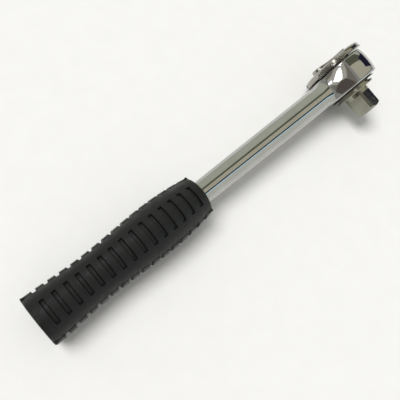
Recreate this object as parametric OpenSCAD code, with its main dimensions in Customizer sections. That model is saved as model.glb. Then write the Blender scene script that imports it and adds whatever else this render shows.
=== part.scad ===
// Ratchet wrench with a half-inch square drive, a round head, a reversing dial and a slotted rubber grip.
// The drive axis is the Y axis: the square points to -Y and the dial faces +Y. The handle runs to -X.
// The origin is the centre of the square's end face.

/* [Handle] */
// Distance from the drive axis to the butt of the grip
grip_butt = 229.7; // [215:0.1:250]
// Distance from the drive axis to the front edge of the grip
grip_front = 130; // [126:0.1:133]
// Radius of the shank where it meets the head
shank_head_r = 8; // [7.8:0.05:8.3]
// Radius of the shank where it enters the grip
shank_grip_r = 6.7; // [6:0.05:7.2]
// Radius of the fillet between the shank and the head
neck_fillet = 8; // [6:0.5:10]

/* [Grip] */
// Radius of the grip at the butt
butt_r = 13.4; // [12.8:0.1:14]
// Radius of the grip at its waist
waist_r = 12.2; // [11.6:0.1:12.8]
// Radius of the grip at its swell
swell_r = 13.85; // [13:0.1:14.5]
// Radius of the grip at its front edge
nose_r = 11.6; // [11:0.1:12.2]
// Number of slots in each row
slot_count = 15; // [8:1:15]
// Distance from one slot to the next
slot_pitch = 6.2; // [5.5:0.1:6.2]
// Width of a slot along the grip
slot_width = 1.7; // [1.2:0.1:2.2]
// Depth of a slot
slot_depth = 1.2; // [0.6:0.1:1.6]
// Arc of the slots in the top and bottom rows, in degrees
long_slot_arc = 59; // [50:1:62]
// Arc of the slots in the two side rows, in degrees
short_slot_arc = 59; // [46:1:62]

/* [Head] */
// Radius of the head at its rims
head_r = 18.5; // [18.3:0.1:19]
// How far the head's side bulges past its rims
head_crown = 0.6; // [0.2:0.1:0.8]
// Height of the head on the dial side of the handle's axis
head_dial_side = 9.2; // [9:0.1:9.4]
// Height of the head on the drive side of the handle's axis
head_drive_side = 8; // [7.9:0.05:8.1]

/* [Dial] */
// Radius of the dial's thin flange
dial_r = 20.4; // [20:0.1:21]
// Gap between the head and the dial
dial_gap = 0.6; // [0.4:0.1:0.8]
// Turn of the dial to each side of the handle's axis, in degrees
dial_throw = 9; // [8:0.5:9]
// Half length of the thumb bar
bar_half = 14; // [12:0.5:15]

/* [Drive] */
// Across flats of the square drive
square_af = 12.7; // [12.6:0.01:12.7]
// Distance from the handle's axis to the end of the square
square_end = 25.8; // [25:0.1:27]
// Radius of the drive flange
flange_r = 13; // [12.9:0.01:13]
// Turn of the square about its own axis, in degrees
square_turn = -17; // [-45:1:45]
// Number of teeth on the drive gear
teeth = 24; // [24:12:24]

/* [Hidden] */
$fn = 96;

chrome_colour = [0.78, 0.78, 0.76];
steel_colour = [0.55, 0.55, 0.53];
rubber_colour = [0.17, 0.18, 0.18];
cut = 0.02;

// Shank and neck
tang_r = 6.2;
tang_end = 224;
neck_end = 27;
fillet_z = shank_head_r + neck_fillet;
fillet_x = sqrt(pow(head_r + neck_fillet, 2) - pow(fillet_z, 2));
fillet_touch = fillet_x * head_r / (head_r + neck_fillet);

// Heights on the drive axis, measured from the handle's axis towards the square
wall_inner = -6.2;
ledge = 4.4;
ring_seat = 6.2;
ring_top = 8.9;
shoulder_low = 4.9;
shoulder_high = 6.1;
groove_high = 9.9;
flange_face = 11.5;
collar_face = 14;
gear_top = -4.2;
dial_low = -head_dial_side - dial_gap;
dial_knurl_low = dial_low - 0.8;
dial_knurl_high = dial_low - 3;
dial_top = dial_low - 3.7;
bar_top = dial_low - 6.3;
stem_end = -5.1;

// Radii in the head
stem_r = 8;
stem_bore_r = 8.05;
gear_tip_r = 10.3;
gear_root_r = 9.45;
gear_bore_r = 10.36;
shoulder_r = 13.55;
shoulder_bore_r = 13.65;
ring_r = 15.6;
ring_bore_r = 13.05;
collar_r = 8.3;

// Pawl, its pocket and the shifter
pivot_x = -15;
pin_r = 1.1;
pawl_half_height = 4.1;
pawl_rock = 9.5;
pocket_r = 8.2;
pocket_back_r = 4.9;
post_inner = 18.7;
post_outer = 23.6;
post_half = 1.5;
post_end = 2.4;
arm_low = stem_end;
arm_high = -4.35;
key_half = 3.5;
plate_r = 17.3;
plate_half_angle = 19;
plunger_r = 0.95;
plunger_bore_r = 1;
plunger_tip = 17.95;
plunger_tail = 20.4;
plunger_seat = 22.6;

// Balls
detent_ball_r = 1.2;
detent_hole_r = 1.26;
detent_radius = 14.5;
detent_z = -9.3;
detent_floor = -5.2;
socket_ball_r = 2;
socket_hole_r = 2.05;
socket_ball_out = 5.2;
socket_hole_floor = -2;
socket_ball_z = 19.6;

// Puts a shape on the drive axis: its Z is the distance from the handle's axis towards the square
module on_drive_axis() translate([0, square_end, 0]) rotate([90, 0, 0]) children();

// Puts a shape on the handle's axis: its Z is the distance from the drive axis towards the butt
module on_handle_axis() translate([0, square_end, 0]) rotate([0, -90, 0]) children();

module ring(outer, inner, low, high) {
    translate([0, 0, low]) difference() {
        cylinder(r = outer, h = high - low);
        translate([0, 0, -cut]) cylinder(r = inner, h = high - low + 2 * cut);
    }
}

module o_ring(radius, section, height) {
    translate([0, 0, height]) rotate_extrude() translate([radius, 0]) circle(r = section, $fn = 32);
}

// A sector of a disc, centred on -X
module sector(radius, half_angle, low, high) {
    translate([0, 0, low]) rotate([0, 0, 180 - half_angle])
        rotate_extrude(angle = 2 * half_angle) square([radius, high - low]);
}

function ease(u) = u * u * (3 - 2 * u);

// One coil spring along +Z, as a tube swept round a helix
module coil_spring(coil_r, wire_r, length, turns) {
    sides = 8;
    steps = 14 * turns;
    rise = length - 2 * wire_r;
    points = [
        for (i = [0 : steps], k = [0 : sides - 1])
            let (a = 360 * turns * i / steps, b = 360 * k / sides, r = coil_r + wire_r * cos(b))
                [r * cos(a), r * sin(a), wire_r + rise * i / steps + wire_r * sin(b)]];
    walls = [
        for (i = [0 : steps - 1], k = [0 : sides - 1], half = [0, 1])
            let (a = i * sides + k, b = i * sides + (k + 1) % sides)
                half == 0 ? [a, b + sides, b] : [a, a + sides, b + sides]];
    caps = [[for (k = [0 : sides - 1]) k], [for (k = [sides - 1 : -1 : 0]) steps * sides + k]];
    polyhedron(points = points, faces = concat(walls, caps));
}

// ---------------------------------------------------------------- handle

// Side of the head: a shallow arc between two small chamfers
module head_drum() {
    chamfer = 0.7;
    low = -head_dial_side + chamfer;
    high = head_drive_side - chamfer;
    side = [for (i = [0 : 8]) let (u = i / 4 - 1)
        [head_r + head_crown * (1 - u * u), low + (high - low) * i / 8]];
    rotate_extrude() polygon(concat(
        [[0, -head_dial_side], [head_r - chamfer, -head_dial_side]],
        side,
        [[head_r - chamfer, head_drive_side], [0, head_drive_side]]));
}

// The shank with its neck flaring into the head by one fillet
module shank() {
    flare = [for (i = [0 : 8]) let (x = fillet_touch + (fillet_x - fillet_touch) * i / 8)
        [fillet_z - sqrt(pow(neck_fillet, 2) - pow(x - fillet_x, 2)), x]];
    shoulder_x = grip_front + 3;
    rotate_extrude() polygon(concat(
        [[0, 6], [flare[0][0], 6]],
        flare,
        [[shank_head_r, neck_end], [shank_grip_r, grip_front], [shank_grip_r, shoulder_x],
         [tang_r, shoulder_x + 1], [tang_r, tang_end - 1], [tang_r - 1, tang_end], [0, tang_end]]));
}

module pawl_pocket() {
    low = -pawl_half_height - 0.3;
    translate([pivot_x, 0, low]) cylinder(r = pocket_back_r, h = ledge - low);
    intersection() {
        translate([pivot_x, 0, low]) cylinder(r = pocket_r, h = ledge - low);
        translate([pivot_x - 1.2, -pocket_r - 1, low]) cube([2 * pocket_r, 2 * pocket_r + 2, ledge - low]);
    }
    sector(21.5, 14.3, arm_low - 0.2, post_end + 0.2);
    sector(plate_r + 0.3, plate_half_angle + dial_throw + 1, arm_low - 0.2, arm_high + 0.1);
    sector(23.9, 14.3, -4.5, post_end + 0.2);
    translate([-21, -4.6, arm_low - 0.2]) cube([15, 9.2, 1]);
}

module handle_body() {
    color(chrome_colour) difference() {
        union() {
            on_drive_axis() head_drum();
            intersection() {
                on_handle_axis() shank();
                translate([-tang_end - 1, square_end - head_drive_side, -30])
                    cube([tang_end + 1, head_drive_side + head_dial_side, 60]);
            }
        }
        on_drive_axis() {
            translate([0, 0, -head_dial_side - 1]) cylinder(r = stem_bore_r, h = head_dial_side);
            translate([0, 0, wall_inner]) cylinder(r = gear_bore_r, h = ledge - wall_inner + cut);
            translate([0, 0, ledge]) cylinder(r = shoulder_bore_r, h = ring_seat - ledge + cut);
            translate([0, 0, ring_seat]) cylinder(r = ring_r, h = head_drive_side);
            pawl_pocket();
            translate([pivot_x, 0, -head_dial_side - 1]) cylinder(r = pin_r, h = head_dial_side + 1 + ring_seat + cut);
            translate([detent_radius, 0, -head_dial_side - 1])
                cylinder(r = detent_hole_r, h = head_dial_side + 1 + detent_floor);
        }
    }
}

// Radius of the grip at a distance from the drive axis: butt, waist, swell and front edge
function grip_radius(x) =
    let (waist_x = 198, swell_x = 158)
    x > waist_x ? waist_r + (butt_r - waist_r) * ease((x - waist_x) / (grip_butt - waist_x))
    : x > swell_x ? swell_r + (waist_r - swell_r) * ease((x - swell_x) / (waist_x - swell_x))
    : swell_r + (nose_r - swell_r) * pow((swell_x - x) / (swell_x - grip_front), 2);

module slot(x, arc, facing) {
    outer = grip_radius(x);
    translate([0, 0, x - slot_width / 2]) rotate([0, 0, facing - arc / 2]) rotate_extrude(angle = arc)
        translate([outer - slot_depth, 0]) square([slot_depth + 2, slot_width]);
}

// A thin mould line along the grip
module mould_line(angle) {
    stations = 20;
    step = (grip_butt - grip_front - 1) / stations;
    rotate([0, 0, angle]) rotate([90, 0, 0]) translate([0, 0, -0.25]) linear_extrude(height = 0.5) polygon(concat(
        [for (i = [0 : stations]) let (x = grip_front + 0.5 + i * step) [grip_radius(x) + 0.3, x]],
        [for (i = [stations : -1 : 0]) let (x = grip_front + 0.5 + i * step) [grip_radius(x) - 1, x]]));
}

module rubber_grip() {
    edge = 1;
    stations = 32;
    length = grip_butt - grip_front;
    last_slot = grip_butt - 6.9;
    outline = [for (i = [0 : stations]) let (x = grip_front + edge + (length - 2 * edge) * i / stations)
        [grip_radius(x), x]];
    color(rubber_colour) on_handle_axis() difference() {
        union() {
            rotate_extrude() polygon(concat(
                [[0, grip_front], [nose_r - edge, grip_front]], outline,
                [[butt_r - edge, grip_butt], [0, grip_butt]]));
            for (angle = [64, 116, 244, 296]) mould_line(angle);
        }
        translate([0, 0, grip_front - 1]) cylinder(r = shank_grip_r, h = 4);
        translate([0, 0, grip_front + 3]) cylinder(r1 = shank_grip_r, r2 = tang_r, h = 1);
        translate([0, 0, grip_front + 3]) cylinder(r = tang_r, h = tang_end - grip_front - 3);
        for (i = [0 : slot_count - 1]) {
            x = last_slot - i * slot_pitch;
            for (facing = [0, 180]) slot(x, long_slot_arc, facing);
            for (facing = [90, 270]) slot(x, short_slot_arc, facing);
        }
    }
}

// ---------------------------------------------------------------- dial and shifter

knurl_r = dial_r - 0.35;
ridge_side = 0.6;
ridge_step = 3.15;
// Knurled stretches of the rim: first and last angle, measured from the thumb bar
knurl_arcs = [[94, 112], [127, 156], [204, 233], [248, 266]];

module knurl_ridge(angle) {
    length = dial_knurl_low - dial_knurl_high;
    rotate([0, 0, angle]) translate([knurl_r - 0.1, 0, dial_knurl_high + 0.3]) rotate([0, 0, 45])
        translate([-ridge_side / 2, -ridge_side / 2, 0]) cube([ridge_side, ridge_side, length]);
}

module thumb_bar() {
    lobe = 4.6;
    reach = bar_half - lobe;
    dish_r = 150;
    difference() {
        translate([0, 0, bar_top]) linear_extrude(height = dial_top - bar_top + 0.5) difference() {
            union() {
                for (side = [-1, 1]) translate([side * reach, 0]) circle(r = lobe);
                square([2 * reach, 2 * lobe], center = true);
            }
            for (side = [-1, 1]) translate([0, side * (lobe + 23)]) circle(r = 24);
        }
        translate([0, 0, bar_top - dish_r + 0.55]) rotate([90, 0, 0])
            cylinder(r = dish_r, h = 30, center = true, $fn = 360);
    }
}

// The stem ends in a square key for the shifter arm
module dial_stem() {
    difference() {
        union() {
            translate([0, 0, dial_low - 1]) cylinder(r = stem_r, h = stem_end - dial_low + 1);
            translate([-key_half, -key_half, stem_end - 1])
                cube([2 * key_half, 2 * key_half, 1 + arm_high - stem_end]);
        }
        ring(stem_r + 1, 7.2, -6.15, -5.2);
        ring(stem_r + 1, 7.25, -8.3, -7.2);
    }
}

module reversing_dial() {
    edge = 0.8;
    color(chrome_colour) on_drive_axis() rotate([0, 0, dial_throw]) difference() {
        union() {
            rotate_extrude() polygon([
                [0, dial_low], [dial_r, dial_low], [dial_r, dial_knurl_low + 0.15],
                [knurl_r, dial_knurl_low], [knurl_r, dial_knurl_high], [knurl_r - edge, dial_top + 0.1],
                [knurl_r - 2.6, dial_top], [0, dial_top]]);
            for (arc = knurl_arcs, angle = [arc[0] : ridge_step : arc[1]]) knurl_ridge(angle);
            thumb_bar();
            dial_stem();
        }
        translate([0, 0, dial_low - 1]) cylinder(r = 1.5, h = 10);
        rotate([0, 0, -4.95 - dial_throw]) rotate_extrude(angle = 2 * dial_throw + 9.9)
            translate([detent_radius - 1.3, detent_z - detent_ball_r - 0.05])
                square([2.6, dial_low - detent_z + detent_ball_r + 1]);
    }
}

module dial_washer() {
    color(steel_colour) on_drive_axis() ring(12.2, 8.2, dial_low + 0.1, -head_dial_side - 0.02);
}

module dial_seal() {
    color(rubber_colour) on_drive_axis() o_ring(7.63, 0.37, -7.75);
}

// An open snap ring on the dial's stem
module dial_retaining_ring() {
    color(steel_colour) on_drive_axis() difference() {
        ring(9.2, 7.22, -6.1, -5.25);
        translate([0, -1.6, -7]) cube([12, 3.2, 3]);
    }
}

module detent_ball() {
    color(steel_colour) on_drive_axis() translate([detent_radius, 0, detent_z]) sphere(r = detent_ball_r);
}

module detent_spring() {
    length = detent_floor - detent_z - detent_ball_r;
    color(steel_colour) on_drive_axis() translate([detent_radius, 0, detent_floor - length])
        coil_spring(0.9, 0.17, length, 5);
}

// The curved slot that clears the pawl's pin as the arm swings
module pin_slot() {
    half_angle = dial_throw + 5.8;
    translate([0, 0, arm_low - 1]) rotate([0, 0, 180 - half_angle]) rotate_extrude(angle = 2 * half_angle)
        translate([-pivot_x - pin_r - 0.2, 0]) square([2 * pin_r + 0.4, 2]);
}

// The arm turns with the dial and carries the plunger behind the pawl
module shifter_arm() {
    color(steel_colour) on_drive_axis() rotate([0, 0, dial_throw]) difference() {
        union() {
            translate([0, 0, arm_low + 0.02]) cylinder(r = 6.4, h = arm_high - arm_low - 0.02);
            sector(plate_r, plate_half_angle, arm_low + 0.02, arm_high);
            translate([-21.2, -post_half, arm_low + 0.02])
                cube([21.2, 2 * post_half, arm_high - arm_low - 0.02]);
            translate([-post_outer, -post_half, arm_high - 0.05])
                cube([post_outer - post_inner, 2 * post_half, post_end - arm_high + 0.05]);
        }
        translate([-key_half, -key_half, arm_low - 1]) cube([2 * key_half, 2 * key_half, 3]);
        pin_slot();
        translate([-plunger_seat, 0, 0]) rotate([0, 90, 0]) cylinder(r = plunger_bore_r, h = 10);
    }
}

module shifter_screw() {
    color(steel_colour) on_drive_axis() difference() {
        union() {
            translate([0, 0, -9]) cylinder(r = 1.5, h = 9 + arm_high);
            translate([0, 0, arm_high]) cylinder(r = 4.6, h = 0.9);
        }
        translate([0, 0, arm_high + 0.4]) cylinder(r = 1.45, h = 1, $fn = 6);
    }
}

module pawl_plunger() {
    nose = 0.5;
    color(steel_colour) on_drive_axis() rotate([0, 0, dial_throw]) translate([-plunger_tip, 0, 0])
        rotate([0, -90, 0]) rotate_extrude() polygon([
            [0, 0], [plunger_r - nose, 0], [plunger_r, nose],
            [plunger_r, plunger_tail - plunger_tip], [0, plunger_tail - plunger_tip]]);
}

module plunger_spring() {
    color(steel_colour) on_drive_axis() rotate([0, 0, dial_throw]) translate([-plunger_tail, 0, 0])
        rotate([0, -90, 0]) coil_spring(0.7, 0.13, plunger_seat - plunger_tail, 5);
}

// ---------------------------------------------------------------- pawl and gear

module gear_outline(extra) {
    polygon([for (i = [0 : 2 * teeth - 1]) let (a = 180 * i / teeth, r = (i % 2 == 0 ? gear_tip_r : gear_root_r) + extra)
        [r * cos(a), r * sin(a)]]);
}

// The pawl about its pivot, before its teeth are cut
module pawl_blank() {
    half = [[-2.5, 0], [-3, 2.6], [0.4, 4.4], [3.4, 6.6], [5.3, 5.9], [6.3, 4.9], [4.9, 2.1], [3, 1.4], [2.9, 0]];
    polygon(concat(half, [for (i = [len(half) - 2 : -1 : 1]) [half[i][0], -half[i][1]]]));
}

module pawl() {
    color(steel_colour) on_drive_axis() translate([pivot_x, 0, -pawl_half_height]) rotate([0, 0, pawl_rock])
        linear_extrude(height = 2 * pawl_half_height) difference() {
            pawl_blank();
            for (side = [-1, 1]) rotate([0, 0, side * pawl_rock]) translate([-pivot_x, 0]) gear_outline(0.08);
            circle(r = pin_r + 0.05);
        }
}

module pawl_pin() {
    color(steel_colour) on_drive_axis() translate([pivot_x, 0, -head_dial_side + 0.1])
        cylinder(r = pin_r, h = head_dial_side - 0.1 + 5.9);
}

// The square with small corner flats and a bevelled end
module drive_square() {
    corner = 1.45;
    bevel = 1;
    half = square_af / 2;
    intersection() {
        translate([-half, -half, flange_face - 1]) cube([square_af, square_af, square_end - flange_face + 1]);
        rotate([0, 0, 45]) translate([-half * sqrt(2) + corner / sqrt(2), -half * sqrt(2) + corner / sqrt(2), 0])
            cube([2 * half * sqrt(2) - corner * sqrt(2), 2 * half * sqrt(2) - corner * sqrt(2), square_end]);
        rotate_extrude() polygon([
            [0, 0], [9.5, 0], [9.5, square_end - bevel * 2.2], [half - 0.6, square_end], [0, square_end]]);
    }
}

module drive_gear() {
    color(chrome_colour) on_drive_axis() difference() {
        union() {
            translate([0, 0, gear_top]) linear_extrude(height = shoulder_low - gear_top + cut) gear_outline(0);
            rotate_extrude() polygon([
                [0, shoulder_low], [shoulder_r, shoulder_low], [shoulder_r, shoulder_high], [flange_r, shoulder_high],
                [flange_r, ring_top], [flange_r - 1.6, ring_top + 0.05], [flange_r - 1.6, groove_high],
                [flange_r, groove_high + 0.05], [flange_r, flange_face - 0.5], [flange_r - 0.5, flange_face],
                [collar_r, flange_face], [collar_r - 0.4, collar_face], [0, collar_face]]);
            rotate([0, 0, square_turn]) drive_square();
        }
        ring(flange_r + 1, flange_r - 0.75, 7, 8);
        translate([0, 0, gear_top - 1]) cylinder(r = 5, h = 2);
        rotate([0, 0, square_turn]) translate([socket_hole_floor, 0, socket_ball_z]) rotate([0, 90, 0])
            cylinder(r = socket_hole_r, h = 12);
    }
}

module thrust_washer() {
    color(steel_colour) on_drive_axis() ring(shoulder_r - 0.1, 10.6, ledge + 0.02, shoulder_low - 0.04);
}

module gear_seal() {
    color(rubber_colour) on_drive_axis() o_ring(12.64, 0.38, 7.5);
}

// The ring that holds the gear in the head, with two spanner holes
module closure_ring() {
    color(chrome_colour) on_drive_axis() difference() {
        rotate_extrude() polygon([
            [ring_bore_r, ring_seat], [ring_r, ring_seat], [ring_r, ring_top - 1], [ring_r - 1.1, ring_top - 0.95],
            [ring_r - 1.1, ring_top - 0.35], [ring_r, ring_top - 0.3], [ring_r, ring_top - 0.1],
            [ring_r - 0.1, ring_top], [ring_bore_r, ring_top]]);
        for (side = [-1, 1]) translate([0, side * (ring_bore_r + 0.75), ring_top - 1.2]) cylinder(r = 0.5, h = 2);
    }
}

module socket_ball() {
    color(steel_colour) on_drive_axis() rotate([0, 0, square_turn]) translate([socket_ball_out, 0, socket_ball_z])
        sphere(r = socket_ball_r);
}

module socket_ball_spring() {
    length = socket_ball_out - socket_ball_r - socket_hole_floor;
    color(steel_colour) on_drive_axis() rotate([0, 0, square_turn]) translate([socket_hole_floor, 0, socket_ball_z])
        rotate([0, 90, 0]) coil_spring(1.5, 0.25, length, 5);
}

handle_body();
rubber_grip();
reversing_dial();
dial_washer();
dial_seal();
dial_retaining_ring();
detent_ball();
detent_spring();
shifter_arm();
shifter_screw();
pawl_plunger();
plunger_spring();
pawl();
pawl_pin();
drive_gear();
thrust_washer();
gear_seal();
closure_ring();
socket_ball();
socket_ball_spring();
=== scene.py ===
"""Ratchet wrench: procedural finishes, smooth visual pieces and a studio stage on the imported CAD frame."""

import math

import bpy
import numpy as np
from mathutils import Matrix, Vector


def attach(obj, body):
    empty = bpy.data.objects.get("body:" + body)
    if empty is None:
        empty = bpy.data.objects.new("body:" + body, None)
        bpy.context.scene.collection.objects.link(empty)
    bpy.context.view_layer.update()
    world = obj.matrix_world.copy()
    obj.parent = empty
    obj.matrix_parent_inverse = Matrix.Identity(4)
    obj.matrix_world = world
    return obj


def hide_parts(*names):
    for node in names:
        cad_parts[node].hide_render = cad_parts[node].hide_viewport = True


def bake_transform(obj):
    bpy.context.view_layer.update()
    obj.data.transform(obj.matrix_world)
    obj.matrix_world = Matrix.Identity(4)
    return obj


bl_info = {
    "name": "Ratchet Wrench",
    "version": (1, 0, 0),
    "blender": (4, 5, 0),
    "location": "View3D > Sidebar > Ratchet",
    "description": "Builds the look of a ratchet wrench on its CAD frame",
    "category": "Object",
}

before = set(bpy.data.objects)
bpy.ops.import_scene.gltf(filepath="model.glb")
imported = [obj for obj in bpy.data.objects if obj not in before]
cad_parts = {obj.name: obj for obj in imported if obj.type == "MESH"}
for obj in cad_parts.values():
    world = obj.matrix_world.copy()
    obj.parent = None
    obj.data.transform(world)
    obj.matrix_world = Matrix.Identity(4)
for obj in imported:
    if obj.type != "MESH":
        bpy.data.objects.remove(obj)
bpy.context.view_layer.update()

MM = 0.001
# Height of the handle's axis above the end of the square
AXIS_Y = 0.0258


# ---------------------------------------------------------------- settings


class RatchetFinish(bpy.types.PropertyGroup):
    chrome: bpy.props.FloatVectorProperty(
        name="Chrome", description="Colour of the chrome plating", subtype="COLOR",
        default=(0.45, 0.45, 0.435))
    steel: bpy.props.FloatVectorProperty(
        name="Steel", description="Colour of the bare steel parts", subtype="COLOR",
        default=(0.42, 0.42, 0.41))
    rubber: bpy.props.FloatVectorProperty(
        name="Rubber", description="Colour of the grip", subtype="COLOR", default=(0.008, 0.009, 0.0085))
    polish: bpy.props.FloatProperty(
        name="Polish", description="Roughness of the chrome", subtype="FACTOR",
        default=0.06, min=0.0, max=0.5)


class RatchetGrip(bpy.types.PropertyGroup):
    slots: bpy.props.IntProperty(
        name="Slots", description="Slots in each row of the grip", default=15, min=1, max=15)
    pitch: bpy.props.FloatProperty(
        name="Pitch", description="Distance between slots", default=0.0062, unit="LENGTH", precision=4)
    width: bpy.props.FloatProperty(
        name="Width", description="Width of a slot", default=0.0018, unit="LENGTH", precision=4)
    depth: bpy.props.FloatProperty(
        name="Depth", description="Depth of a slot", default=0.0012, unit="LENGTH", precision=4)


class RatchetStage(bpy.types.PropertyGroup):
    lens: bpy.props.FloatProperty(
        name="Lens", description="Focal length of the camera", default=40.5, min=10, max=200, unit="CAMERA")
    floor: bpy.props.FloatVectorProperty(
        name="Floor", description="Colour of the table", subtype="COLOR", default=(0.865, 0.86, 0.838))
    sky: bpy.props.FloatProperty(
        name="Sky", description="Strength of the surrounding light", default=0.42, min=0, max=5)
    key: bpy.props.FloatProperty(
        name="Key", description="Strength of the main soft light", default=2.3, min=0, max=20)
    softness: bpy.props.FloatProperty(
        name="Softness", description="How wide the main light is, in degrees", default=32, min=0, max=90)


GROUPS = {"ratchet_finish": RatchetFinish, "ratchet_grip": RatchetGrip, "ratchet_stage": RatchetStage}


# ---------------------------------------------------------------- materials


# The surface's slow mottling and its finer smudges: noise scale and detail
MOTTLING = (90, 4)
SMUDGES = (260, 5)
GRAIN_DETAIL = 3
GRAIN_STRENGTH = 0.25
EVEN = (1, 1, 1)
# Each finish: setting it starts from, share of that colour, metallic, roughness (None: the polish setting),
# grain scale, grain depth in metres, grain stretch, colour spread
FINISHES = {
    "chrome": ("chrome", EVEN, 1, None, 1500, 0.000002, EVEN, 0.05),
    # The drive's darker, olive colour is painted shade: the shaded table that its flats reflect, put into
    # the colour; only its rougher satin finish is its own
    "drive_chrome": ("chrome", (0.66, 0.66, 0.56), 1, 0.16, 900, 0.000006, EVEN, 0.12),
    "dial_chrome": ("chrome", (0.82, 0.8, 0.76), 1, 0.14, 1200, 0.000004, EVEN, 0.1),
    "dark_steel": ("steel", (0.13, 0.13, 0.13), 1, 0.22, 2000, 0.000004, EVEN, 0.2),
    "brushed_steel": ("steel", EVEN, 1, 0.3, 2500, 0.00001, (1, 1, 0.1), 0.15),
    "spring_steel": ("steel", (0.8, 0.8, 0.8), 1, 0.25, 3000, 0.000004, EVEN, 0.1),
    "rubber": ("rubber", EVEN, 0, 0.42, 1800, 0.00005, EVEN, 0.18),
    "seal": ("rubber", (0.6, 0.6, 0.6), 0, 0.5, 2500, 0.00002, EVEN, 0.2),
}
# The grip's rubber shines less than a plain plastic
RUBBER_SPECULAR = 0.34


def tree(name):
    """A new material with its nodes and links."""
    material = bpy.data.materials.new(name)
    material.use_nodes = True
    return material, material.node_tree.nodes, material.node_tree.links


def noise(nodes, links, scale, detail, stretch=EVEN, low=0.0, high=1.0):
    """Object-space noise remapped between two values."""
    place = nodes.new("ShaderNodeTexCoord")
    mapping = nodes.new("ShaderNodeMapping")
    mapping.inputs["Scale"].default_value = stretch
    texture = nodes.new("ShaderNodeTexNoise")
    texture.inputs["Scale"].default_value = scale
    texture.inputs["Detail"].default_value = detail
    span = nodes.new("ShaderNodeMapRange")
    span.inputs["From Min"].default_value = 0.3
    span.inputs["From Max"].default_value = 0.7
    span.inputs["To Min"].default_value = low
    span.inputs["To Max"].default_value = high
    links.new(place.outputs["Object"], mapping.inputs["Vector"])
    links.new(mapping.outputs["Vector"], texture.inputs["Vector"])
    links.new(texture.outputs["Fac"], span.inputs["Value"])
    return span.outputs["Result"]


def tinted(nodes, links, colour, factor, spread):
    """The colour made a little darker and lighter by a 0 to 1 factor."""
    mix = nodes.new("ShaderNodeMix")
    mix.data_type = "RGBA"
    mix.inputs["A"].default_value = (*[c * (1 - spread) for c in colour], 1)
    mix.inputs["B"].default_value = (*[min(1, c * (1 + spread)) for c in colour], 1)
    links.new(factor, mix.inputs["Factor"])
    return mix.outputs["Result"]


def finish(name, colour, metallic, rough, grain, depth, stretch, spread):
    """A procedural finish: colour variation, uneven roughness and a fine surface grain."""
    material, nodes, links = tree(name)
    shader = nodes["Principled BSDF"]
    shader.inputs["Metallic"].default_value = metallic
    cloud = noise(nodes, links, *MOTTLING)
    links.new(tinted(nodes, links, colour, cloud, spread), shader.inputs["Base Color"])
    links.new(noise(nodes, links, *SMUDGES, stretch, rough * 0.7, rough * 1.4), shader.inputs["Roughness"])
    bump = nodes.new("ShaderNodeBump")
    bump.inputs["Strength"].default_value = GRAIN_STRENGTH
    bump.inputs["Distance"].default_value = depth
    links.new(noise(nodes, links, grain, GRAIN_DETAIL, stretch), bump.inputs["Height"])
    links.new(bump.outputs["Normal"], shader.inputs["Normal"])
    return material


def look(name):
    """The finish of that name, made the first time it is asked for."""
    made = bpy.data.materials.get("wrench_" + name)
    return made or new_look(name)


def new_look(name):
    """Makes a finish from its row in the table and the settings."""
    values = bpy.context.scene.ratchet_finish
    source, share, metallic, rough, grain, depth, stretch, spread = FINISHES[name]
    colour = [c * k for c, k in zip(getattr(values, source), share)]
    rough = values.polish if rough is None else rough
    material = finish("wrench_" + name, colour, metallic, rough, grain, depth, stretch, spread)
    if name == "rubber":
        shader = material.node_tree.nodes["Principled BSDF"]
        shader.inputs["Specular IOR Level"].default_value = RUBBER_SPECULAR
    return material


def give_finish(node, name):
    """Gives a carried-over CAD piece its finish."""
    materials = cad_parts[node].data.materials
    materials.clear()
    materials.append(look(name))


# ---------------------------------------------------------------- mesh building


# Edges sharper than this stay crisp, in degrees
CRISP_EDGE = 35


def build(name, node, body, points, faces, material, normals=None):
    """A piece that stands for a CAD node, from points in millimetres about the crossing of the two axes."""
    verts = np.asarray(points, dtype=float) * MM
    verts[:, 1] += AXIS_Y
    mesh = bpy.data.meshes.new(name)
    mesh.from_pydata(verts.tolist(), [], [tuple(int(i) for i in f) for f in faces])
    mesh.validate()
    mesh.materials.append(material)
    mesh.shade_smooth()
    if normals is None:
        mesh.set_sharp_from_angle(angle=math.radians(CRISP_EDGE))
    else:
        mesh.normals_split_custom_set_from_vertices(normals.tolist())
    piece = bpy.data.objects.new(name, mesh)
    bpy.context.scene.collection.objects.link(piece)
    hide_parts(node)
    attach(piece, body)


def quads(rows, columns, start=0):
    """Faces of a tube stored ring by ring."""
    faces = []
    for i in range(rows - 1):
        for j in range(columns):
            k = (j + 1) % columns
            a = start + i * columns
            faces.append((a + j, a + k, a + columns + k, a + columns + j))
    return faces


def smooth_least(a, b, reach):
    """The smaller of two distances, blended where they are within reach of each other."""
    share = np.clip(0.5 + 0.5 * (b - a) / reach, 0, 1)
    return b + (a - b) * share - reach * share * (1 - share)


# ---------------------------------------------------------------- handle

# The head's two flat ends, along the drive's axis
HEAD_LOW, HEAD_HIGH = -8.0, 9.2
# The head's side: its radius at the ends and how far it swells, about a middle height and half height
HEAD_SIDE, HEAD_SWELL = 18.2, 0.85
SWELL_MIDDLE, SWELL_REACH = 0.6, 8.6
# The shank's radius at places along it
SHANK_X, SHANK_R = (-134, -27, 0), (6.66, 8.0, 8.1)
# Reach of the blend at the neck, and at the rims of the head
NECK_BLEND, RIM_BLEND = 8.5, 1.3
# Where the neck's rings give way to the head's rays, and where the shank enters the grip
NECK_X, TANG_X = -24.0, -131.0
# The mouth that the gear goes in through
MOUTH_R = 15.6
# How often a ray's end is halved, and the step that the surface's direction is measured over
HALVINGS, SLOPE_STEP = 42, 0.01
# Rings along the plain shank, rings along the neck, rows round the head, and points in each
SHANK_RINGS, NECK_RINGS, HEAD_ROWS, RING_POINTS = 24, 50, 240, 240


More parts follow.
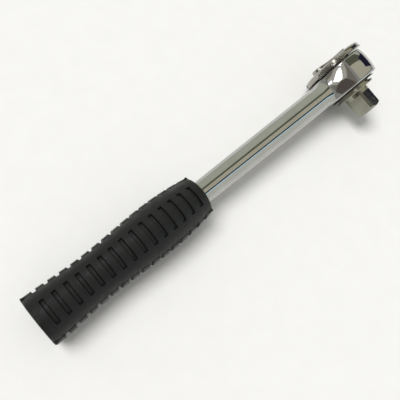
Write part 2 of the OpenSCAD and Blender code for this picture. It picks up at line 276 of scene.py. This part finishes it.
def handle_distance(p):
    """How far points are outside the handle: shank and head with a blended neck and eased rims."""
    x, y, z = p[..., 0], p[..., 1], p[..., 2]
    shank = np.sqrt(np.maximum(x, 0) ** 2 + y * y + z * z) - np.interp(x, SHANK_X, SHANK_R)
    u = (y - SWELL_MIDDLE) / SWELL_REACH
    side = np.sqrt(x * x + z * z) - (HEAD_SIDE + HEAD_SWELL * (1 - u * u))
    body = smooth_least(shank, side, NECK_BLEND)
    ends = np.maximum(HEAD_LOW - y, y - HEAD_HIGH)
    return -smooth_least(-body, -ends, RIM_BLEND)


def cast(origins, directions, near, far):
    """Where rays leave the handle, and the surface's direction there."""
    low = np.full(origins.shape[:-1], float(near))
    high = np.full(origins.shape[:-1], float(far))
    for _ in range(HALVINGS):
        middle = (low + high) / 2
        inside = handle_distance(origins + directions * middle[..., None]) < 0
        low, high = np.where(inside, middle, low), np.where(inside, high, middle)
    points = origins + directions * low[..., None]
    steps = np.eye(3) * SLOPE_STEP
    normals = np.stack([handle_distance(points + d) - handle_distance(points - d) for d in steps], axis=-1)
    return points, normals / np.linalg.norm(normals, axis=-1, keepdims=True)


def handle_skin():
    """The outer skin: rings along the shank, then rays from the head's middle."""
    columns = RING_POINTS
    turn = np.linspace(0, 2 * np.pi, columns, endpoint=False)
    ring = np.stack([np.zeros_like(turn), np.cos(turn), np.sin(turn)], axis=-1)
    along = np.concatenate([np.linspace(TANG_X, -60, SHANK_RINGS), np.linspace(-59, NECK_X, NECK_RINGS)])
    origins = np.zeros((len(along), columns, 3))
    origins[..., 0] = along[:, None]
    shank, shank_n = cast(origins, np.broadcast_to(ring, origins.shape), 2, 30)
    edge = np.arctan2(np.linalg.norm(shank[-1][:, 1:], axis=1), -NECK_X)
    share = np.linspace(0, 1, HEAD_ROWS)[1:-1, None]
    angle = edge[None, :] + (np.pi - edge[None, :]) * share
    rays = np.stack([-np.cos(angle), np.sin(angle) * np.cos(turn), np.sin(angle) * np.sin(turn)], axis=-1)
    head, head_n = cast(np.zeros_like(rays), rays, 3, 40)
    tip, tip_n = cast(np.zeros((1, 3)), np.array([[1.0, 0, 0]]), 3, 40)
    rows = len(along) + len(head)
    points = np.concatenate([shank.reshape(-1, 3), head.reshape(-1, 3), tip])
    normals = np.concatenate([shank_n.reshape(-1, 3), head_n.reshape(-1, 3), tip_n])
    faces = quads(rows, columns)
    last = (rows - 1) * columns
    faces += [(last + j, last + (j + 1) % columns, rows * columns) for j in range(columns)]
    return points, normals, faces


def open_mouth(points, faces, height, radius):
    """Cuts a round hole in a flat end of the head, with its rim drawn onto the circle."""
    reach = np.hypot(points[:, 0], points[:, 2])
    flat = np.abs(points[:, 1] - height) < 0.02
    inner = flat & (reach < radius)
    kept = [f for f in faces if not all(inner[i] for i in f)]
    rim = sorted({i for f in kept for i in f if inner[i]})
    scale = radius / np.maximum(reach[rim], 1e-6)
    points[rim, 0] *= scale
    points[rim, 2] *= scale
    return kept


def carried_faces(node, keep):
    """The faces of a CAD piece whose corners pass a test, as points in millimetres."""
    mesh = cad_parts[node].data
    points = np.array([v.co for v in mesh.vertices]) / MM
    points[:, 1] -= AXIS_Y / MM
    faces = [tuple(p.vertices) for p in mesh.polygons if keep(points[list(p.vertices)].mean(axis=0))]
    used = sorted({i for f in faces for i in f})
    where = {old: new for new, old in enumerate(used)}
    normals = np.zeros((len(used), 3))
    for p in mesh.polygons:
        for i in p.vertices:
            if i in where:
                normals[where[i]] += np.array(p.normal)
    normals /= np.maximum(np.linalg.norm(normals, axis=1, keepdims=True), 1e-9)
    return points[used], normals, [tuple(where[i] for i in f) for f in faces]


def inside_handle(p):
    """Whether a point in millimetres is under the outer skin, or on the tang."""
    return p[0] < TANG_X or handle_distance(p[None, :])[0] < -0.12


# ---------------------------------------------------------------- grip

# Rows of slots: the way each faces, measured from +Z towards +Y, and its arc, in degrees
SLOT_ROWS = ((0, 59), (90, 59), (180, 59), (270, 59))
# The moulding seams, measured the same way
SEAMS = (64, 116, 244, 296)
# The grip's two ends along the handle, and the radius of the hole that the shank fills
BUTT, FRONT = -229.7, -130.0
HOLE_R = 6.72
# From the butt to the middle of the first slot
FIRST_SLOT = 6.9
# How far the seams stand proud, and how much more the lugs at both ends do
SEAM_RISE, LUG_RISE, LUG_LENGTH = 0.28, 1.1, 2.6


def ease(u):
    """A smooth step from 0 to 1."""
    return u * u * (3 - 2 * u)


def grip_radius(x):
    """The grip's outline: butt, waist, swell and nose."""
    back = -np.asarray(x, dtype=float)
    rear = 12.2 + 1.2 * ease(np.clip((back - 198) / 31.7, 0, 1))
    waist = 13.85 - 1.65 * ease(np.clip((back - 158) / 40, 0, 1))
    nose = 13.85 - 2.25 * np.clip((158 - back) / 28, 0, 1) ** 2
    return np.where(back > 198, rear, np.where(back > 158, waist, nose))


def grip_lines(values):
    """Grid lines along the grip and round it, with a line at every slot's edges."""
    pitch, half = values.pitch / MM, values.width / MM / 2
    centres = [BUTT + FIRST_SLOT + i * pitch for i in range(values.slots)]
    along = [BUTT + 0.9, FRONT - 0.9, *np.arange(BUTT + 1.6, FRONT - 1, 1.55)]
    for c in centres:
        along = [x for x in along if abs(x - c) > half + 0.6]
        along += [c + side * (half + a) for side in (-1, 1) for a in (-0.12, 0, 0.08, 0.18, 0.3, 0.5)] + [c]
    turn = []
    for facing, arc in SLOT_ROWS:
        turn += [facing + a for a in np.linspace(-arc / 2 + 1, arc / 2 - 1, 22)]
        turn += [facing + s * (arc / 2 + a) for s in (-1, 1) for a in (-0.4, 0.4, 1.4)]
        edge = arc / 2 + 1.4
        turn += [facing + s * (edge + (45 - edge) * k / 7) for s in (-1, 1) for k in range(1, 7)]
        turn.append(facing + 45)
    for seam in SEAMS:
        turn = [t for t in turn if abs(t % 360 - seam) > 2.4]
        turn += [seam + a for a in (-2.2, -1.3, -0.8, 0, 0.8, 1.3, 2.2)]
    return centres, np.array(sorted(along)), np.radians(np.array(sorted({round(t % 360, 3) for t in turn})))


def grip_skin(values):
    """The grip's skin as rings: slots cut in, seams and lugs standing proud, both ends closed in."""
    centres, along, turn = grip_lines(values)
    half, depth = values.width / MM / 2, values.depth / MM
    across = np.min(np.abs(along[:, None] - np.array(centres)[None, :]), axis=1)
    cut_x = ease(np.clip((half + 0.3 - across) / 0.42, 0, 1))
    degrees = np.degrees(turn)
    cut_t = np.zeros_like(turn)
    for facing, arc in SLOT_ROWS:
        off = np.abs((degrees - facing + 180) % 360 - 180)
        cut_t = np.maximum(cut_t, np.clip((arc / 2 + 0.4 - off) / 0.8, 0, 1))
    seam = np.zeros_like(turn)
    for angle in SEAMS:
        seam = np.maximum(seam, np.clip(1.4 - np.abs(degrees - angle), 0, 1))
    from_end = np.minimum(along - BUTT, FRONT - along)
    tall = SEAM_RISE + LUG_RISE * np.clip(1 - from_end / LUG_LENGTH, 0, 1)
    lip = np.exp(-((across - half - 0.6) / 0.5) ** 2)[:, None] * cut_t[None, :] * 0.08
    radius = grip_radius(along)[:, None] - depth * cut_x[:, None] * cut_t[None, :]
    radius = radius + tall[:, None] * seam[None, :] * (1 - 0.8 * cut_x[:, None] * cut_t[None, :]) + lip
    flat = np.zeros_like(turn)
    rows = [(BUTT, 0.01 + flat), (BUTT, 7.0 + flat), (BUTT, 12.5 + flat), (BUTT + 0.25, 13.1 + seam * 1.2)]
    rows += list(zip(along, radius))
    rows += [(FRONT - 0.25, 11.2 + seam * 0.9), (FRONT, 10.7 + flat), (FRONT, 7.1 + flat)]
    rows += [(FRONT - 0.3, HOLE_R + flat), (FRONT - 2, HOLE_R + flat)]
    rings = [np.stack([x + flat, r * np.sin(turn), r * np.cos(turn)], axis=-1) for x, r in rows]
    points = np.concatenate(rings)
    return points, quads(len(rows), len(turn))


# ---------------------------------------------------------------- dial

# Knurled stretches and the smooth scallops of the rim, in degrees round from the head's end
KNURLS = ((94, 112), (127, 156), (204, 233), (248, 266))
KNURL_PITCH, KNURL_HEIGHT = 3.15, 0.6
SCALLOPS, SCALLOP_REACH, SCALLOP_DEPTH = (119.5, 240.5), 6.5, 0.35
# How far the dial at rest is turned from its middle, in degrees
DIAL_TURN = 9.0
# Heights of the rim's underside and of the flat top
DIAL_LOW, DIAL_TOP = 9.8, 13.5
# The thumb bar's half length, half width at the waist and its gain at the lobes; its top's height and dish
BAR_REACH, BAR_WAIST, BAR_LOBE = 14.0, 3.6, 1.0
BAR_TOP, BAR_DISH = 15.45, 0.55
# The rounded edge at the top of the bar
BAR_EDGE = 0.45


def dial_skin():
    """The dial's rim and top, as rings round the drive's axis, with its knurled stretches."""
    angle = np.arange(0, 360, 0.35)
    knurl = np.zeros_like(angle)
    for low, high in KNURLS:
        ridge = 0.5 + 0.5 * np.cos((angle - low) / KNURL_PITCH * 2 * np.pi)
        knurl = np.maximum(knurl, np.where((angle > low - 1.6) & (angle < high + 1.6), ridge ** 1.4, 0))
    scallop = np.zeros_like(angle)
    for middle in SCALLOPS:
        scallop = np.maximum(scallop, np.clip(1 - ((angle - middle) / SCALLOP_REACH) ** 2, 0, 1))
    # Radius, height and share of the knurling, from under the rim to the middle of the top
    profile = [
        (20.2, DIAL_LOW, 0), (20.38, 9.92, 0), (20.38, 10.25, 0), (20.1, 10.4, 0), (19.8, 10.5, 0.2),
        (19.8, 10.7, 1), (19.8, 11.5, 1), (19.8, 12.4, 1), (19.7, 12.65, 0.7), (19.4, 12.95, 0.2),
        (18.9, 13.25, 0), (18.2, 13.42, 0), (17.2, DIAL_TOP, 0), (12, DIAL_TOP, 0), (6, DIAL_TOP, 0),
        (0.01, DIAL_TOP, 0)]
    a = np.radians(angle + DIAL_TURN)
    rows = []
    for r, h, share in profile:
        reach = r + KNURL_HEIGHT * knurl * share - SCALLOP_DEPTH * scallop * share
        rows.append(np.stack([reach * np.cos(a), np.full_like(a, h), reach * np.sin(a)], axis=-1))
    return np.concatenate(rows), quads(len(rows), len(angle))


def bar_top(x):
    """The dished top's height along the bar."""
    return BAR_TOP + BAR_DISH * (x / 12) ** 2


def bar_outline(count):
    """The waisted outline seen from above, with round ends, and its outward directions."""
    u = np.linspace(0, 2 * np.pi, count, endpoint=False)
    x = np.abs(np.cos(u)) ** 0.55 * np.sign(np.cos(u)) * BAR_REACH
    along = np.clip(np.abs(x) / BAR_REACH, 0, 1)
    swell = BAR_WAIST + BAR_LOBE * np.sin(np.clip(along / 0.7, 0, 1) * np.pi / 2) ** 2
    end = np.sqrt(np.clip(1 - np.clip((along - 0.62) / 0.38, 0, 1) ** 2, 0, 1))
    outline = np.stack([x, np.sign(np.sin(u)) * swell * end], axis=-1)
    side = np.roll(outline, -1, axis=0) - np.roll(outline, 1, axis=0)
    outward = np.stack([side[:, 1], -side[:, 0]], axis=-1)
    return outline, outward / np.maximum(np.linalg.norm(outward, axis=1, keepdims=True), 1e-9)


def thumb_bar(start, count=240):
    """The raised bar: its outline lofted up to a dished top with rounded edges, then closed across."""
    outline, outward = bar_outline(count)
    base = DIAL_TOP - 0.02
    rows = []
    # The foot and the side: distance outwards and share of the height
    for out, share in ((0.55, 0), (0.2, 0.12), (0.05, 0.4), (0, 0.9), (-0.03, 1)):
        flat = outline + outward * out
        rows.append((flat, base + (bar_top(flat[:, 0]) - base - BAR_EDGE) * share))
    # The rounded edge: distance outwards and share of the edge
    for out, share in ((-0.25, 2 / 3), (-0.7, 1)):
        flat = outline + outward * out
        rows.append((flat, bar_top(flat[:, 0]) - BAR_EDGE * (1 - share)))
    for narrow in (0.6, 0.3):
        flat = (outline + outward * -0.7) * np.array([1, narrow])
        rows.append((flat, bar_top(flat[:, 0])))
    a = math.radians(DIAL_TURN)
    points = np.concatenate([np.stack([
        f[:, 0] * math.cos(a) - f[:, 1] * math.sin(a), h, f[:, 0] * math.sin(a) + f[:, 1] * math.cos(a)],
        axis=-1) for f, h in rows])
    faces = quads(len(rows), count, start)
    last, half = start + (len(rows) - 1) * count, count // 2
    faces += [(last + j, last + j + 1, last + count - j - 1, last + count - j) for j in range(1, half - 1)]
    faces += [(last, last + 1, last + count - 1), (last + half - 1, last + half, last + half + 1)]
    return points, faces


# ---------------------------------------------------------------- pieces


def carried_spring(name, node):
    """A spring's own copy with the spring steel finish, taking the place of the CAD piece."""
    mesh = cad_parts[node].data.copy()
    mesh.materials.clear()
    mesh.materials.append(look("spring_steel"))
    spring = bpy.data.objects.new(name, mesh)
    bpy.context.scene.collection.objects.link(spring)
    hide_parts(node)
    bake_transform(spring)


class RatchetOperator(bpy.types.Operator):
    bl_options = {"REGISTER", "UNDO"}


class RATCHET_OT_handle(RatchetOperator):
    """Handle: the shank, the neck and the head"""
    bl_idname = "ratchet.handle"
    bl_label = "Handle"

    def execute(self, context):
        points, normals, faces = handle_skin()
        faces = open_mouth(points, faces, HEAD_LOW, MOUTH_R)
        inner, inner_n, inner_faces = carried_faces("handle_body", inside_handle)
        faces += [tuple(i + len(points) for i in f) for f in inner_faces]
        build("handle", "handle_body", "handle", np.concatenate([points, inner]), faces,
              look("chrome"), np.concatenate([normals, inner_n]))
        give_finish("closure_ring", "dark_steel")
        return {"FINISHED"}


class RATCHET_OT_grip(RatchetOperator):
    """Grip: the slotted rubber on the handle"""
    bl_idname = "ratchet.grip"
    bl_label = "Grip"

    def execute(self, context):
        points, faces = grip_skin(context.scene.ratchet_grip)
        build("grip", "rubber_grip", "handle", points, faces, look("rubber"))
        return {"FINISHED"}


class RATCHET_OT_dial(RatchetOperator):
    """Dial: the knurled reversing dial with its thumb bar"""
    bl_idname = "ratchet.dial"
    bl_label = "Reversing dial"

    def execute(self, context):
        points, faces = dial_skin()
        under, _, under_faces = carried_faces("reversing_dial", lambda p: p[1] < DIAL_LOW + 0.02)
        faces += [tuple(i + len(points) for i in f) for f in under_faces]
        points = np.concatenate([points, under])
        bar, bar_faces = thumb_bar(len(points))
        build("dial", "reversing_dial", "dial", np.concatenate([points, bar]), faces + bar_faces,
              look("dial_chrome"))
        return {"FINISHED"}


class RATCHET_OT_drive(RatchetOperator):
    """Drive: the gear with its flange and square, and the socket ball with its spring"""
    bl_idname = "ratchet.drive"
    bl_label = "Drive"

    def execute(self, context):
        # The gear's darker, olive chrome is painted shade standing for the shaded table it reflects
        give_finish("drive_gear", "drive_chrome")
        give_finish("socket_ball", "spring_steel")
        carried_spring("ball_spring", "socket_ball_spring")
        return {"FINISHED"}


class RATCHET_OT_inner(RatchetOperator):
    """Mechanism: the pawl, shifter, springs, washers and seals inside the head"""
    bl_idname = "ratchet.inner"
    bl_label = "Mechanism"

    def execute(self, context):
        finishes = {
            "brushed_steel": (
                "pawl", "pawl_pin", "shifter_arm", "shifter_screw", "dial_washer", "thrust_washer"),
            "spring_steel": ("detent_ball", "pawl_plunger", "plunger_spring", "dial_retaining_ring"),
            "seal": ("dial_seal", "gear_seal"),
        }
        for name, members in finishes.items():
            for member in members:
                give_finish(member, name)
        carried_spring("seat_spring", "detent_spring")
        return {"FINISHED"}


# ---------------------------------------------------------------- stage


def glow(name, colour, strength):
    """A material that only gives off light."""
    material, nodes, links = tree(name)
    nodes.clear()
    out = nodes.new("ShaderNodeOutputMaterial")
    emit = nodes.new("ShaderNodeEmission")
    emit.inputs["Color"].default_value = (*colour, 1)
    emit.inputs["Strength"].default_value = strength
    links.new(emit.outputs["Emission"], out.inputs["Surface"])
    return material


def plane(name, centre, normal, width, height, material, up=(0, 0, 1)):
    """A flat card that faces along its normal."""
    z = Vector(normal).normalized()
    x = Vector(up).cross(z)
    x = Vector((1, 0, 0)) if x.length < 1e-6 else x.normalized()
    y = z.cross(x)
    middle = Vector(centre)
    signs = ((-1, -1), (1, -1), (1, 1), (-1, 1))
    corners = [middle + x * (a * width / 2) + y * (b * height / 2) for a, b in signs]
    mesh = bpy.data.meshes.new(name)
    mesh.from_pydata([tuple(c) for c in corners], [], [(0, 1, 2, 3)])
    mesh.materials.append(material)
    card = bpy.data.objects.new(name, mesh)
    bpy.context.scene.collection.objects.link(card)
    return card


# The table: its slopes along and across the handle, its height and its size, in metres
TABLE_SLOPE_X, TABLE_SLOPE_Y, TABLE_HEIGHT, TABLE_SIZE = -0.0254, -0.107, -0.01658, 60
# How far the table keeps clear of the three points that the object lies on
TABLE_GAP = 0.0002
# Where the table is centred and the lamp is aimed, along the handle; the lamp's and the camera's places
TABLE_MIDDLE_X = -0.1
LAMP_PLACE, LAMP_TARGET_X = (-0.52, 0.7, 1.5), -0.08
CAMERA_PLACE = (-0.2207, 0.0138, 0.2233)
CAMERA_RIGHT, CAMERA_UP = (0.72346, -0.63725, 0.26556), (0.57981, 0.76965, 0.26732)
# How far off the strips are bent round the handle, where they start and end along it, and in how many parts
STRIP_DISTANCE, STRIP_ENDS, STRIP_PARTS = 1.2, (0.05, 4), 12
# Cards that only mirrors see: name, direction from the head, width and height at one metre, colour, strength
CARDS = (
    ("softbox_high", (-0.548, 0.21, 0.81), 0.3, 0.22, (1.0, 1.0, 1.0), 4.6),
    ("softbox_low", (-0.25, 0.48, 0.84), 0.3, 0.2, (0.97, 0.98, 1.0), 4.0),
    ("soft_glow", (-0.42, 0.38, 0.82), 0.75, 0.6, (0.62, 0.6, 0.55), 1.1),
    ("doorway", (0.94, 0.04, 0.33), 0.24, 0.62, (0.02, 0.02, 0.05), 1.0),
    ("dim_side", (-0.55, -0.35, 0.75), 0.7, 0.6, (0.15, 0.13, 0.115), 1.0),
    ("back_wall", (-0.7, 0.1, 0.7), 2.4, 1.6, (0.3, 0.28, 0.24), 1.0),
)
# Cards that stand behind the others, in metres
CARD_DISTANCE = {"soft_glow": 1.1, "dim_side": 1.12, "back_wall": 1.6}
# Long strips over the handle that only mirrors see: name, first and last angle from above towards -Y, colour
STRIPS = (
    ("grey_wall", -95, -25, (0.64, 0.66, 0.56)),
    ("dark_beam", -25, -9, (0.15, 0.16, 0.11)),
    ("warm_ceiling", -9, 24, (0.7, 0.66, 0.53)),
    ("black_rail", 24, 35, (0.02, 0.03, 0.03)),
    ("window_light", 35, 40, (0.8, 1.25, 1.6)),
    ("light_wall", 40, 95, (0.8, 0.81, 0.75)),
)


def mirror_only(card):
    """Only reflections see the card, and it casts no shadow."""
    card.visible_camera = False
    card.visible_diffuse = False
    card.visible_shadow = False


def reflection_card(name, direction, width, height, colour, strength):
    """A glowing card that faces the head."""
    toward = Vector(direction).normalized()
    distance = CARD_DISTANCE.get(name, 1)
    centre = Vector((0, AXIS_Y, 0)) + toward * distance
    light = glow(name, colour, strength)
    mirror_only(plane(name, centre, -toward, width * distance, height * distance, light))


def reflection_strip(name, first, last, colour):
    """A glowing strip along the handle, bent round it."""
    angles = [math.radians(first + (last - first) * i / STRIP_PARTS) for i in range(STRIP_PARTS + 1)]
    points = [
        (x, AXIS_Y - STRIP_DISTANCE * math.sin(a), STRIP_DISTANCE * math.cos(a))
        for a in angles for x in STRIP_ENDS]
    mesh = bpy.data.meshes.new(name)
    mesh.from_pydata(points, [], [(2 * i, 2 * i + 1, 2 * i + 3, 2 * i + 2) for i in range(STRIP_PARTS)])
    mesh.materials.append(glow(name, colour, 1))
    strip = bpy.data.objects.new(name, mesh)
    bpy.context.scene.collection.objects.link(strip)
    mirror_only(strip)


class RATCHET_OT_stage(RatchetOperator):
    """Stage: the table, the lights and the camera"""
    bl_idname = "ratchet.stage"
    bl_label = "Stage"

    def execute(self, context):
        values = context.scene.ratchet_stage
        scene = context.scene
        scene.view_settings.view_transform = "Standard"
        scene.view_settings.look = "None"

        world = bpy.data.worlds.new("studio")
        world.use_nodes = True
        world.node_tree.nodes["Background"].inputs["Color"].default_value = (1, 1, 0.985, 1)
        world.node_tree.nodes["Background"].inputs["Strength"].default_value = values.sky
        scene.world = world

        table = finish("table", values.floor, 0, 0.6, 300, 0.00001, EVEN, 0.01)
        normal = Vector((-TABLE_SLOPE_X, -TABLE_SLOPE_Y, 1)).normalized()
        rise = TABLE_SLOPE_X * TABLE_MIDDLE_X + TABLE_SLOPE_Y * AXIS_Y + TABLE_HEIGHT
        centre = Vector((TABLE_MIDDLE_X, AXIS_Y, rise)) - normal * TABLE_GAP
        plane("table_top", centre, normal, TABLE_SIZE, TABLE_SIZE, table, up=(0, 1, 0))

        key = bpy.data.lights.new("key", "SUN")
        key.angle = math.radians(values.softness)
        key.energy = values.key
        lamp = bpy.data.objects.new("key", key)
        scene.collection.objects.link(lamp)
        lamp.location = LAMP_PLACE
        lamp.rotation_mode = "QUATERNION"
        away = lamp.location - Vector((LAMP_TARGET_X, AXIS_Y, 0))
        lamp.rotation_quaternion = away.to_track_quat("Z", "Y")
        lamp.visible_glossy = False
        for card in CARDS:
            reflection_card(*card)
        for strip in STRIPS:
            reflection_strip(*strip)

        camera = bpy.data.cameras.new("camera")
        camera.sensor_width = 36
        camera.lens = values.lens
        camera.clip_start, camera.clip_end = 0.01, 20
        holder = bpy.data.objects.new("camera", camera)
        scene.collection.objects.link(holder)
        right, up = Vector(CAMERA_RIGHT), Vector(CAMERA_UP)
        turn = Matrix((right, up, right.cross(up))).transposed().to_4x4()
        holder.matrix_world = Matrix.Translation(CAMERA_PLACE) @ turn
        scene.camera = holder
        return {"FINISHED"}


OPERATORS = (
    RATCHET_OT_handle,
    RATCHET_OT_grip,
    RATCHET_OT_dial,
    RATCHET_OT_drive,
    RATCHET_OT_inner,
    RATCHET_OT_stage,
)


class RATCHET_PT_panel(bpy.types.Panel):
    bl_idname = "RATCHET_PT_panel"
    bl_label = "Ratchet wrench"
    bl_space_type = "VIEW_3D"
    bl_region_type = "UI"
    bl_category = "Ratchet"

    def draw(self, context):
        for group in GROUPS:
            box = self.layout.box()
            values = getattr(context.scene, group)
            for name in values.__annotations__:
                box.prop(values, name)
        for operator in OPERATORS:
            self.layout.operator(operator.bl_idname)


def register():
    for name, group in GROUPS.items():
        bpy.utils.register_class(group)
        setattr(bpy.types.Scene, name, bpy.props.PointerProperty(type=group))
    for operator in OPERATORS:
        bpy.utils.register_class(operator)
    bpy.utils.register_class(RATCHET_PT_panel)


def unregister():
    bpy.utils.unregister_class(RATCHET_PT_panel)
    for operator in reversed(OPERATORS):
        bpy.utils.unregister_class(operator)
    for name, group in GROUPS.items():
        delattr(bpy.types.Scene, name)
        bpy.utils.unregister_class(group)


def main():
    register()
    for operator in OPERATORS:
        getattr(bpy.ops.ratchet, operator.bl_idname.split(".")[1])()


if __name__ == "__main__":
    main()
